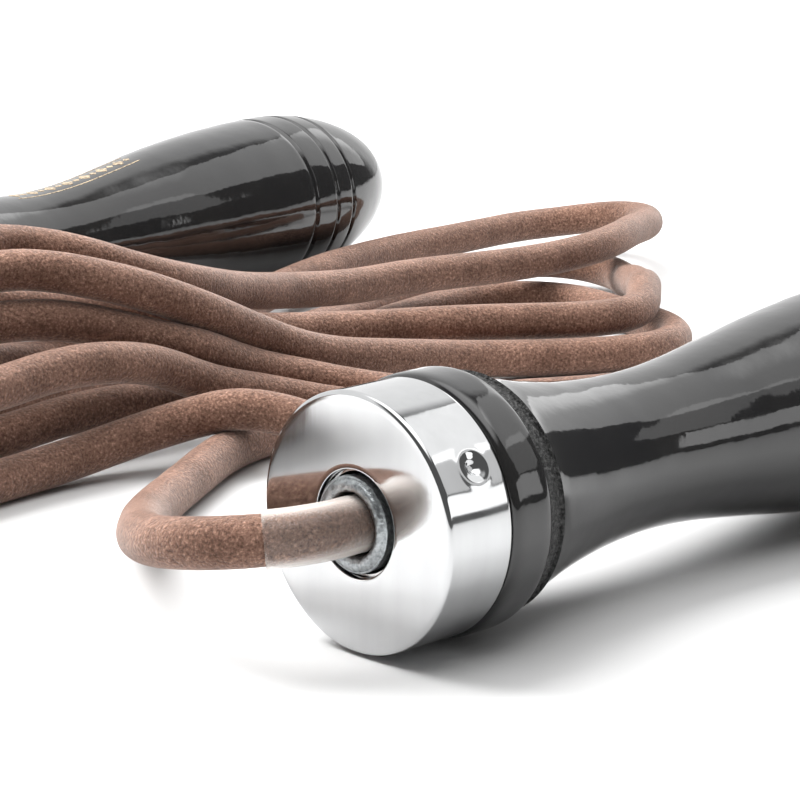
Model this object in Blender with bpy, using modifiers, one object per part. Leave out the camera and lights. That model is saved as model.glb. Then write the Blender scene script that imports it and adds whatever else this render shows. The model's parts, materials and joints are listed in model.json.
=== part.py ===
"""Jump rope: two turned wooden handles on ball bearings, joined by one round leather rope.

Frame: origin on the floor, under the middle of the box round both handles. +X runs along the front
handle from its cap to its butt, and +Z is up. Lengths are in metres. A handle's own pieces are drawn
in its own frame: the distance s runs along its axis, from 0 at the cap's face to the butt.
"""

import math

import bmesh
import bpy
from mathutils import Matrix, Vector

# Driving dimensions
HANDLE_LENGTH = 0.1500
CAP_RADIUS = 0.0160
CAP_LENGTH = 0.01015
BULB_RADIUS = 0.0164
BULB_START = 0.116  # where the rounded butt begins
WAIST_RADIUS = 0.01043
ROPE_RADIUS = 0.0031
BALL_RADIUS = 0.001985
BALL_COUNT = 10
BALL_RING_RADIUS = 0.0080
GAP = 0.0003  # running clearance and clearance between fitted pieces

# Cap and what shows through its hole
CAP_WALL = 0.0008
CAP_HOLE_RADIUS = 0.0066
CAP_EDGE = 0.0006  # bevel round the face
DIMPLE_COUNT = 3
DIMPLE_AT = 0.0062  # s
DIMPLE_RADIUS = 0.0032  # of the ball that punches it
DIMPLE_DEPTH = 0.0005
DIMPLE_TURN = math.radians(58.0)  # the first dimple, from straight up towards the handle's right

# Bearing, from the cap's face inwards (s)
CUP_FRONT = CAP_WALL + GAP
CUP_WEB = 0.0010
CUP_RADIUS = 0.0113
CUP_INNER_RADIUS = BALL_RING_RADIUS + BALL_RADIUS + GAP
CUP_WEB_RADIUS = 0.00625
BALLS_AT = CUP_FRONT + CUP_WEB + BALL_RADIUS + GAP
CUP_BACK = BALLS_AT + BALL_RADIUS
CONE_BORE = 0.0039
CONE_RADIUS = BALL_RING_RADIUS - BALL_RADIUS - GAP
CONE_LIP_RADIUS = 0.0059
CONE_LIP_CREST = 0.0047
CONE_LIP_OUT = -0.0009
CONE_SHOULDER_RADIUS = 0.0086
CONE_SHOULDER_AT = BALLS_AT + BALL_RADIUS + GAP
CONE_BACK = CONE_SHOULDER_AT + 0.0014

# Rope end inside the grip (s)
WASHER_AT = CONE_BACK + GAP
WASHER_THICKNESS = 0.0010
WASHER_RADIUS = 0.0090
STOP_AT = WASHER_AT + WASHER_THICKNESS + GAP
STOP_LENGTH = 0.0080
STOP_RADIUS = 0.0051
STOP_BORE = ROPE_RADIUS + 0.5 * GAP
ROPE_END_AT = STOP_AT + STOP_LENGTH + 0.0010
SLEEVE_BORE = ROPE_RADIUS + 0.5 * GAP
SLEEVE_WALL = 0.00035
SLEEVE_TO = WASHER_AT - GAP
SLEEVE_STEPS = 3  # of the rope's spacing that the sleeve reaches outside the cap

# Grip
SPIGOT_AT = CAP_WALL + GAP
SPIGOT_RADIUS = CAP_RADIUS - CAP_WALL - GAP
RECESS_RADIUS = CUP_RADIUS + GAP
RECESS_TO = WASHER_AT + WASHER_THICKNESS + 0.0010
BORE_RADIUS = 0.0070
BORE_TO = ROPE_END_AT + 0.0040
BORE_TIP = BORE_TO + 0.0030
BEAD_FROM = CAP_LENGTH + GAP
BEAD_TO = 0.0171
GROOVE_TO = 0.0200
GROOVE_RADIUS = 0.0149
NECK = [  # (s, radius) down the slope, through the waist and up to the bulb
    (0.0200, 0.0150),
    (0.0225, 0.01412),
    (0.0300, 0.01230),
    (0.0380, 0.01103),
    (0.0470, WAIST_RADIUS),
    (0.0570, 0.01088),
    (0.0680, 0.01229),
    (0.0800, 0.01410),
    (0.0920, 0.01538),
    (0.1040, 0.01615),
]
BUTT_POWER = 1.887  # of the butt's rounding, between a circle (2) and a cone (1)
BUTT_STEPS = 7
BUTT_FLAT_RADIUS = 0.0030

# Where the handles lie: the middle of the cap's face, and the direction from cap to butt
AXIS_HEIGHT = BULB_RADIUS
HANDLES = {
    "front": {"face": (-0.0900, -0.0914), "turn": 0.0},
    "rear": {"face": (-0.0568, 0.0687), "turn": math.radians(11.0)},
}

# Rope: hand-placed points of each lead, from the cap's face to the hank
FRONT_LEAD = [
    (-0.0900, -0.0914, 0.0164),
    (-0.0945, -0.0912, 0.0164),
    (-0.0995, -0.0893, 0.0162),
    (-0.1036, -0.0852, 0.0157),
    (-0.1055, -0.0790, 0.0147),
    (-0.1047, -0.0722, 0.0133),
    (-0.1009, -0.0653, 0.0118),
    (-0.0949, -0.0576, 0.0095),
    (-0.0880, -0.0490, 0.0070),
]
REAR_LEAD = [
    (-0.0568, 0.0687, 0.0164),
    (-0.0656, 0.0670, 0.0164),
    (-0.0780, 0.0646, 0.0162),
    (-0.0900, 0.0628, 0.0154),
    (-0.1015, 0.0602, 0.0135),
    (-0.1095, 0.0540, 0.0111),
    (-0.1118, 0.0450, 0.0086),
    (-0.1106, 0.0418, 0.0078),
]

# The hank: upright discs whose hull is its outer shape
HANK_DISCS = [  # centre in plan, radius, height
    ((-0.1440, 0.0065), 0.0240, 0.0290),  # left bends
    ((-0.0660, 0.0140), 0.0140, 0.0352),  # where its runs cross, on top of each other
    ((-0.0170, -0.0470), 0.0160, 0.0080),  # loops beside the front handle
    ((0.0410, -0.0500), 0.0160, 0.0080),
    ((0.1150, 0.0600), 0.0175, 0.0145),  # right bends
]
DISC_SEGMENTS = 20

TURNED_SEGMENTS = 32
SMALL_SEGMENTS = 24
SLEEVE_SEGMENTS = 12
TUBE_SPACING = 0.0041


def clear_scene():
    for item in list(bpy.data.objects):
        bpy.data.objects.remove(item)


def make_collection(name):
    collection = bpy.data.collections.new(name)
    bpy.context.scene.collection.children.link(collection)
    return collection


def make_material(name, color, roughness, metallic=0.0, alpha=1.0):
    material = bpy.data.materials.new(name)
    material.use_nodes = True
    shader = material.node_tree.nodes["Principled BSDF"]
    shader.inputs["Base Color"].default_value = (*color, 1.0)
    shader.inputs["Roughness"].default_value = roughness
    shader.inputs["Metallic"].default_value = metallic
    shader.inputs["Alpha"].default_value = alpha
    return material


def add_object(name, data, collection, material=None, parent=None):
    item = bpy.data.objects.new(name, data)
    collection.objects.link(item)
    item.parent = parent
    if material is not None:
        data.materials.append(material)
    return item


def handle_axis(name, place, collection):
    """An empty at the middle of the cap's face: its Z runs to the butt, and its X points down."""
    along = Vector((math.cos(place["turn"]), math.sin(place["turn"]), 0.0))
    down = Vector((0.0, 0.0, -1.0))
    turn = Matrix((down, along.cross(down), along)).transposed().to_4x4()
    empty = bpy.data.objects.new(name + "_axis", None)
    collection.objects.link(empty)
    empty.matrix_world = Matrix.Translation((*place["face"], AXIS_HEIGHT)) @ turn
    empty.empty_display_size = 0.02
    return empty


def outward(profile):
    """The profile in the order in which the Screw's faces point outwards."""
    ring = profile + profile[:1]
    area = sum(a[1] * b[0] - b[1] * a[0] for a, b in zip(ring, ring[1:]))
    return profile if area < 0 else profile[::-1]


def turned(name, profile, segments, material, collection, parent, closed=True):
    """A piece turned about its Z axis from (s, radius) points. An open one starts and ends on the axis."""
    points = outward(profile)
    mesh = bpy.data.meshes.new(name)
    edges = [(i, i + 1) for i in range(len(points) - 1)]
    if closed:
        edges.append((len(points) - 1, 0))
    mesh.from_pydata([(radius, 0.0, s) for s, radius in points], edges, [])
    item = add_object(name, mesh, collection, material, parent)
    screw = item.modifiers.new("Turn", "SCREW")
    screw.axis = "Z"
    screw.steps = screw.render_steps = segments
    screw.use_merge_vertices = True
    screw.merge_threshold = 0.00001
    screw.use_smooth_shade = True
    return item


def grip_profile():
    bulge = 0.0004
    bead = [
        (BEAD_FROM, CAP_RADIUS - GAP),
        (BEAD_FROM + 0.0008, CAP_RADIUS + 0.5 * bulge),
        (0.5 * (BEAD_FROM + BEAD_TO), CAP_RADIUS + bulge),
        (BEAD_TO - 0.0008, CAP_RADIUS + 0.5 * bulge),
        (BEAD_TO, CAP_RADIUS - GAP),
    ]
    butt_length = HANDLE_LENGTH - BULB_START
    shares = [math.sin(0.5 * math.pi * i / BUTT_STEPS) for i in range(BUTT_STEPS)]
    butt = [(BULB_START + butt_length * t, BULB_RADIUS * math.sqrt(1 - t**BUTT_POWER)) for t in shares]
    return [
        (BORE_TIP, 0.0),
        (BORE_TO, BORE_RADIUS),
        (RECESS_TO, BORE_RADIUS),
        (RECESS_TO, RECESS_RADIUS),
        (SPIGOT_AT, RECESS_RADIUS),
        (SPIGOT_AT, SPIGOT_RADIUS),
        (BEAD_FROM, SPIGOT_RADIUS),
        *bead,
        (BEAD_TO, GROOVE_RADIUS),
        (GROOVE_TO, GROOVE_RADIUS),
        *NECK,
        *butt,
        (HANDLE_LENGTH, BUTT_FLAT_RADIUS),
        (HANDLE_LENGTH, 0.0),
    ]


def cap_profile():
    return [
        (0.0, CAP_HOLE_RADIUS),
        (0.0, CAP_RADIUS - CAP_EDGE),
        (CAP_EDGE, CAP_RADIUS),
        (CAP_LENGTH, CAP_RADIUS),
        (CAP_LENGTH, CAP_RADIUS - CAP_WALL),
        (CAP_WALL, CAP_RADIUS - CAP_WALL),
        (CAP_WALL, CAP_HOLE_RADIUS),
    ]


def cup_profile():
    return [
        (CUP_FRONT, CUP_WEB_RADIUS),
        (CUP_FRONT, CUP_RADIUS),
        (CUP_BACK, CUP_RADIUS),
        (CUP_BACK, CUP_INNER_RADIUS),
        (CUP_FRONT + CUP_WEB, CUP_INNER_RADIUS),
        (CUP_FRONT + CUP_WEB, CUP_WEB_RADIUS),
    ]


def cone_profile():
    return [
        (CONE_LIP_OUT + 0.0006, CONE_BORE),
        (CONE_LIP_OUT, CONE_LIP_CREST - 0.0002),
        (CONE_LIP_OUT, CONE_LIP_CREST + 0.0002),
        (0.0002, CONE_LIP_RADIUS),
        (0.0010, CONE_LIP_RADIUS),
        (0.0014, CONE_RADIUS),
        (CONE_SHOULDER_AT, CONE_RADIUS),
        (CONE_SHOULDER_AT, CONE_SHOULDER_RADIUS),
        (CONE_BACK, CONE_SHOULDER_RADIUS),
        (CONE_BACK, CONE_BORE),
    ]


def washer_profile():
    back = WASHER_AT + WASHER_THICKNESS
    bore = ROPE_RADIUS + GAP
    return [(WASHER_AT, bore), (WASHER_AT, WASHER_RADIUS), (back, WASHER_RADIUS), (back, bore)]


def stop_profile():
    back = STOP_AT + STOP_LENGTH
    waist = STOP_RADIUS - 0.0007  # where the crimping tool has pressed it in
    return [
        (STOP_AT, STOP_BORE),
        (STOP_AT, STOP_RADIUS),
        (STOP_AT + 0.25 * STOP_LENGTH, STOP_RADIUS),
        (STOP_AT + 0.35 * STOP_LENGTH, waist),
        (STOP_AT + 0.65 * STOP_LENGTH, waist),
        (STOP_AT + 0.75 * STOP_LENGTH, STOP_RADIUS),
        (back, STOP_RADIUS),
        (back, STOP_BORE),
    ]


def add_balls(side, material, collection, parent):
    for number in range(BALL_COUNT):
        angle = 2.0 * math.pi * number / BALL_COUNT
        mesh = bpy.data.meshes.new(f"{side}_bearing_ball_{number + 1:02d}")
        ball = bmesh.new()
        bmesh.ops.create_uvsphere(ball, u_segments=8, v_segments=6, radius=BALL_RADIUS)
        ball.to_mesh(mesh)
        ball.free()
        mesh.shade_smooth()
        item = add_object(mesh.name, mesh, collection, material, parent)
        item.location = (
            BALL_RING_RADIUS * math.cos(angle),
            BALL_RING_RADIUS * math.sin(angle),
            BALLS_AT,
        )


def punch_dimples(cap, side, cutters):
    """Round punch marks that stake the cap to the wood, evenly spaced round its side."""
    for number in range(DIMPLE_COUNT):
        angle = math.pi + DIMPLE_TURN + 2.0 * math.pi * number / DIMPLE_COUNT
        reach = CAP_RADIUS + DIMPLE_RADIUS - DIMPLE_DEPTH
        mesh = bpy.data.meshes.new(f"{side}_dimple_punch_{number + 1}")
        punch = bmesh.new()
        bmesh.ops.create_uvsphere(punch, u_segments=16, v_segments=12, radius=DIMPLE_RADIUS)
        punch.to_mesh(mesh)
        punch.free()
        cutter = add_object(mesh.name, mesh, cutters, parent=cap.parent)
        cutter.location = (reach * math.cos(angle), reach * math.sin(angle), DIMPLE_AT)
        cutter.hide_render = True
        cutter.display_type = "WIRE"
        cut = cap.modifiers.new(f"Dimple {number + 1}", "BOOLEAN")
        cut.operation = "DIFFERENCE"
        cut.object = cutter


def add_handle(side, place, materials, parts, cutters):
    axis = handle_axis(side, place, parts)

    def piece(name, profile, segments, look, closed=True):
        return turned(f"{side}_{name}", profile, segments, materials[look], parts, axis, closed)

    piece("grip", grip_profile(), TURNED_SEGMENTS, "lacquer", closed=False)
    cap = piece("cap", cap_profile(), TURNED_SEGMENTS, "chrome")
    punch_dimples(cap, side, cutters)
    piece("bearing_cup", cup_profile(), SMALL_SEGMENTS, "steel")
    piece("bearing_cone", cone_profile(), SMALL_SEGMENTS, "zinc")
    piece("stop_washer", washer_profile(), SMALL_SEGMENTS, "zinc")
    piece("rope_stop", stop_profile(), SLEEVE_SEGMENTS, "steel")
    add_balls(side, materials["steel"], parts, axis)
    return axis


def smooth_curve(points, spacing):
    """Evenly spaced points on a centripetal Catmull-Rom curve through the given points."""
    way = [Vector(p) for p in points]
    way = [2 * way[0] - way[1], *way, 2 * way[-1] - way[-2]]
    fine = []
    for a, b, c, d in zip(way, way[1:], way[2:], way[3:]):
        t1 = math.sqrt((b - a).length)
        t2 = t1 + math.sqrt((c - b).length)
        t3 = t2 + math.sqrt((d - c).length)
        for step in range(20):
            t = t1 + (t2 - t1) * step / 20
            ab = a.lerp(b, t / t1)
            bc = b.lerp(c, (t - t1) / (t2 - t1))
            cd = c.lerp(d, (t - t2) / (t3 - t2))
            fine.append(ab.lerp(bc, t / t2).lerp(bc.lerp(cd, (t - t1) / (t3 - t1)), (t - t1) / (t2 - t1)))
    fine.append(way[-2])
    lengths = [0.0]
    for a, b in zip(fine, fine[1:]):
        lengths.append(lengths[-1] + (b - a).length)
    count = round(lengths[-1] / spacing)
    even = []
    place = 0
    for step in range(count + 1):
        target = lengths[-1] * step / count
        while place < len(fine) - 2 and lengths[place + 1] < target:
            place += 1
        share = (target - lengths[place]) / (lengths[place + 1] - lengths[place])
        even.append(fine[place].lerp(fine[place + 1], min(share, 1.0)))
    return even


def tube(name, points, radius, material, collection, capped=True):
    curve = bpy.data.curves.new(name, "CURVE")
    curve.dimensions = "3D"
    curve.bevel_depth = radius
    curve.bevel_resolution = 4
    curve.use_fill_caps = capped
    spline = curve.splines.new("POLY")
    spline.points.add(len(points) - 1)
    for target, point in zip(spline.points, points):
        target.co = (*point, 1.0)
    return add_object(name, curve, collection, material)


def add_lead(side, axis, route, materials, collection):
    """The rope from its end in the handle's stop along the route, and the clear sleeve it leaves through."""

    def inside(s):
        return axis.matrix_world @ Vector((0.0, 0.0, s))

    outside = smooth_curve(route, TUBE_SPACING)
    tube(f"rope_{side}_lead", [inside(ROPE_END_AT), *outside], ROPE_RADIUS, materials["leather"], collection)
    sleeved = [inside(SLEEVE_TO), *outside[: SLEEVE_STEPS + 1]]
    bore = tube(f"{side}_sleeve_bore", sleeved, SLEEVE_BORE, None, collection, capped=False)
    bpy.context.view_layer.update()
    mesh = bpy.data.meshes.new_from_object(bore.evaluated_get(bpy.context.evaluated_depsgraph_get()))
    bpy.data.objects.remove(bore)
    sleeve = add_object(f"{side}_clear_sleeve", mesh, collection, materials["clear_plastic"])
    wall = sleeve.modifiers.new("Wall", "SOLIDIFY")
    wall.thickness = SLEEVE_WALL
    wall.offset = 1.0


def add_hank(material, collection):
    """The outer shape of the folded rope: high where its runs are piled up, low where they fan out."""
    mesh = bpy.data.meshes.new("rope_hank")
    hank = bmesh.new()
    for (x, y), radius, height in HANK_DISCS:
        for step in range(DISC_SEGMENTS):
            angle = 2.0 * math.pi * step / DISC_SEGMENTS
            for z in (0.0, height):
                hank.verts.new((x + radius * math.cos(angle), y + radius * math.sin(angle), z))
    hull = bmesh.ops.convex_hull(hank, input=hank.verts)
    bmesh.ops.delete(hank, geom=hull["geom_interior"], context="VERTS")
    hank.to_mesh(mesh)
    hank.free()
    return add_object("rope_hank", mesh, collection, material)


def main():
    clear_scene()
    parts = make_collection("jump_rope")
    cutters = make_collection("cutters")
    materials = {
        "lacquer": make_material("black_lacquer", (0.012, 0.012, 0.013), 0.12),
        "chrome": make_material("chrome", (0.80, 0.80, 0.80), 0.08, metallic=1.0),
        "steel": make_material("bearing_steel", (0.55, 0.55, 0.55), 0.25, metallic=1.0),
        "zinc": make_material("zinc_plate", (0.42, 0.44, 0.46), 0.45, metallic=1.0),
        "clear_plastic": make_material("clear_plastic", (0.85, 0.84, 0.82), 0.15, alpha=0.35),
        "leather": make_material("brown_leather", (0.22, 0.10, 0.065), 0.75),
    }
    axes = {side: add_handle(side, place, materials, parts, cutters) for side, place in HANDLES.items()}
    bpy.context.view_layer.update()
    add_lead("front", axes["front"], FRONT_LEAD, materials, parts)
    add_lead("rear", axes["rear"], REAR_LEAD, materials, parts)
    add_hank(materials["leather"], parts)


main()
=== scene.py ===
"""Looks of the jump rope: lacquered handles, chromed caps, bearing lips, clear sleeves and leather rope.

Everything is in metres in the CAD's frame. A turned piece is drawn as (s, radius), where s runs along
its handle's axis from 0 at the cap's face, and rides on the body of the CAD node that it replaces.
"""

import json
import math

import bmesh
import bpy
import numpy as np
from mathutils import Matrix, Vector, noise


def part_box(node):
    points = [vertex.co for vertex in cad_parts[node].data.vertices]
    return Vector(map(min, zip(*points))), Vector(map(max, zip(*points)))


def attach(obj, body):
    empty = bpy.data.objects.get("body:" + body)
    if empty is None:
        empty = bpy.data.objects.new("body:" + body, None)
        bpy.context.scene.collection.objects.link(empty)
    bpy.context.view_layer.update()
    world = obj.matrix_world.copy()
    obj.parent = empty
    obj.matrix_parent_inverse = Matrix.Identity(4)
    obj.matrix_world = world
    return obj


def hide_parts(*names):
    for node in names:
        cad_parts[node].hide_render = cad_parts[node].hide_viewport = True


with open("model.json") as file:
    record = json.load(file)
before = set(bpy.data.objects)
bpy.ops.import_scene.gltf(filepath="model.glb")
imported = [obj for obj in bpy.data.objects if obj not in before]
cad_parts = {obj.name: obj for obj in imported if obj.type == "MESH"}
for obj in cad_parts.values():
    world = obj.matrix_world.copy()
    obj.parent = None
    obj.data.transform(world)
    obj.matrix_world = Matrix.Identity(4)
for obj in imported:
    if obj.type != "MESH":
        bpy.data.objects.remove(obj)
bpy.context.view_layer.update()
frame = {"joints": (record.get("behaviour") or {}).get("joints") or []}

SIDES = ("front", "rear")
GAP = 0.0003  # running clearance and clearance between fitted pieces
ROPE_RADIUS = 0.00315
HANDLE_LENGTH = 0.1500
CAP_RADIUS = 0.0160
CAP_LENGTH = 0.01015
BULB_RADIUS = 0.0164
BULB_START = 0.116

# How finely round things are drawn: the points in a ring, and the steps from ring to ring
ROPE_SEGMENTS = 40
SLEEVE_SEGMENTS = 64
GRIP_SEGMENTS = 288
CAP_SEGMENTS = 480
CONE_SEGMENTS = 192
INNER_SEGMENTS = 96
ROPE_STEP = 0.0011
GRIP_STEP = 0.0009  # between the grip's rings
GRIP_FINE_STEP = 0.00022  # between those in the butt's grooves
GROOVE_STEP = 0.00018  # and in the rough groove behind the bead

# Rope's surface
ROPE_SWELL = 0.012  # share by which its thickness varies along it
ROPE_BUMPS = 0.010  # share by which it varies over the surface

# Cap, with a punch mark in each of three places round its side
CAP_WALL = 0.0008
CAP_HOLE_RADIUS = 0.0066
RIM_RADIUS = 0.0006  # rounding between the cap's face and its side
CAP_EDGE = 0.0002  # rounding of its back edge
HOLE_EDGE = 0.00015  # rounding of the hole's edge
DIMPLE_COUNT = 3
DIMPLE_AT = 0.0062  # s
DIMPLE_TURN = math.radians(58.0)
DIMPLE_RADIUS = 0.00215
DIMPLE_DEPTH = 0.00042
DIMPLE_CORE_RADIUS = 0.0010
DIMPLE_CORE_DEPTH = 0.00036
DIMPLE_LIP_WIDTH = 0.0005  # of the raised edge
DIMPLE_LIP_HEIGHT = 0.00005
DIMPLE_DISH_RADIUS = 0.0036  # of the shallow dent round each dimple
DIMPLE_DISH_DEPTH = 0.00009

# Bearing, washer and ferrule (s and radii as in the solids they replace)
BALL_COUNT = 10
BALL_RADIUS = 0.001985
BALL_RING_RADIUS = 0.0080
CUP_FRONT = CAP_WALL + GAP
CUP_WEB = 0.0010
CUP_RADIUS = 0.0113
CUP_INNER_RADIUS = BALL_RING_RADIUS + BALL_RADIUS + GAP
CUP_WEB_RADIUS = 0.00625
BALLS_AT = CUP_FRONT + CUP_WEB + BALL_RADIUS + GAP
CUP_BACK = BALLS_AT + BALL_RADIUS
CONE_BORE = 0.0039
CONE_RADIUS = BALL_RING_RADIUS - BALL_RADIUS - GAP
CONE_LIP_RADIUS = 0.0059
CONE_LIP_CREST = 0.0047
CONE_LIP_TO = 0.0006  # s at which the rolled lip meets the bore
CONE_SHOULDER_RADIUS = 0.0086
CONE_SHOULDER_AT = CUP_BACK + GAP
CONE_BACK = CONE_SHOULDER_AT + 0.0014
WASHER_AT = CONE_BACK + GAP
WASHER_THICKNESS = 0.0010
WASHER_RADIUS = 0.0090
WASHER_BORE = ROPE_RADIUS + GAP
STOP_AT = WASHER_AT + WASHER_THICKNESS + GAP
STOP_LENGTH = 0.0080
STOP_RADIUS = 0.0051
STOP_WAIST_RADIUS = STOP_RADIUS - 0.0007  # where the ferrule is crimped
STOP_BORE = ROPE_RADIUS + 0.5 * GAP
ROPE_END_AT = STOP_AT + STOP_LENGTH + 0.0010

# Sleeve, which fits the rope more closely than its solid does
SLEEVE_TO = 0.00790
SLEEVE_REACH = 0.0123  # along the rope, outside the cap
SLEEVE_INNER = 0.00322
SLEEVE_OUTER = SLEEVE_INNER + 0.0003

# Grip
SPIGOT_AT = CAP_WALL + GAP
SPIGOT_RADIUS = CAP_RADIUS - CAP_WALL - GAP
RECESS_RADIUS = CUP_RADIUS + GAP
RECESS_TO = WASHER_AT + WASHER_THICKNESS + 0.0010
BORE_RADIUS = 0.0070
BORE_TO = ROPE_END_AT + 0.0040
BORE_TIP = BORE_TO + 0.0030
CENTER_RADIUS = 0.0001  # of the hair-thin hole left along the axis
BEAD_FROM = CAP_LENGTH + GAP
BEAD_TO = 0.0171
BEAD_RADIUS = 0.0164
BEAD_EDGE_RADIUS = 0.0156
BEAD_POWER = 5.0  # how square the bead's section is
GROOVE_TO = 0.0200
GROOVE_RADIUS = 0.0149
GROOVE_LIP = 0.0004  # by which the groove's walls stand above its floor
GROOVE_WALL = 0.0002  # how far a wall leans over
GROOVE_GOUGES = 0.00016  # depths of the groove's coarse and fine roughness
GROOVE_GRAIN = 0.00010
NECK = [  # (s, radius) down the slope, through the waist and up to the bulb
    (0.0200, 0.0150),
    (0.0225, 0.01412),
    (0.0300, 0.01230),
    (0.0380, 0.01103),
    (0.0470, 0.01043),
    (0.0570, 0.01088),
    (0.0680, 0.01229),
    (0.0800, 0.01410),
    (0.0920, 0.01538),
    (0.1040, 0.01615),
    (0.1160, 0.01640),
]
BUTT_POWER = 1.887  # how full the end of the bulb is
BUTT_FLAT_RADIUS = 0.0030
BUTT_BLEND = 0.0030  # length over which the end turns into its flat
BUTT_GROOVES = (0.1116, 0.1186, 0.1245)
BUTT_GROOVE_DEPTH = 0.00035
BUTT_GROOVE_WIDTH = 0.00040
ORNAMENT_FROM = 0.0420
ORNAMENT_TO = 0.0750
ORNAMENT_COUNT = 14
ORNAMENT_TURN = math.pi  # on top of the grip
LOZENGE_SIZES = (0.0014, 0.0008)
LINE_OFFSET = 0.0023  # of the two thin lines from the row's middle
LINE_HALF_WIDTH = 0.00014
GILT_PROUD = 0.00004  # height above the grip's surface
GILT_SUNK = 0.00006  # depth below it

# Camera, light and floor
CAMERA_PLACE = (-0.3059, -0.32135, 0.10744)
CAMERA_TILT = math.radians(76.452)  # from straight down
CAMERA_TURN = math.radians(-44.17)
CAMERA_LENS = 125.31  # millimetres, on a sensor 36 mm wide
CAMERA_SENSOR = 36.0
LIT_POINT = Vector((-0.02, -0.05, 0.02))  # where the softboxes aim
ROOM_DIM = 0.14  # brightness of the room around, behind the object and above it
ROOM_BACK = 1.25
ROOM_TOP = 2.8
FLOOR_REACH = 6.0
FLOOR_GRAY = 0.62

# How the rope's course settles
SPACING = 0.0045  # between its points
FIXED_POINTS = 3  # at each end
LEAST_BEND = 0.0146  # radius that tight bends open out to
BEND_EASE = 0.02  # share by which the wider bends are eased too
SAME_BEND = 4.2  # rope diameters along the rope within which it never rests on itself
ROUNDS = 220
FREE_ROUNDS = 60  # the last ones, without the pull back to the given course
HAND_PULL = 0.02  # share of the way back in each of the others
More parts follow.
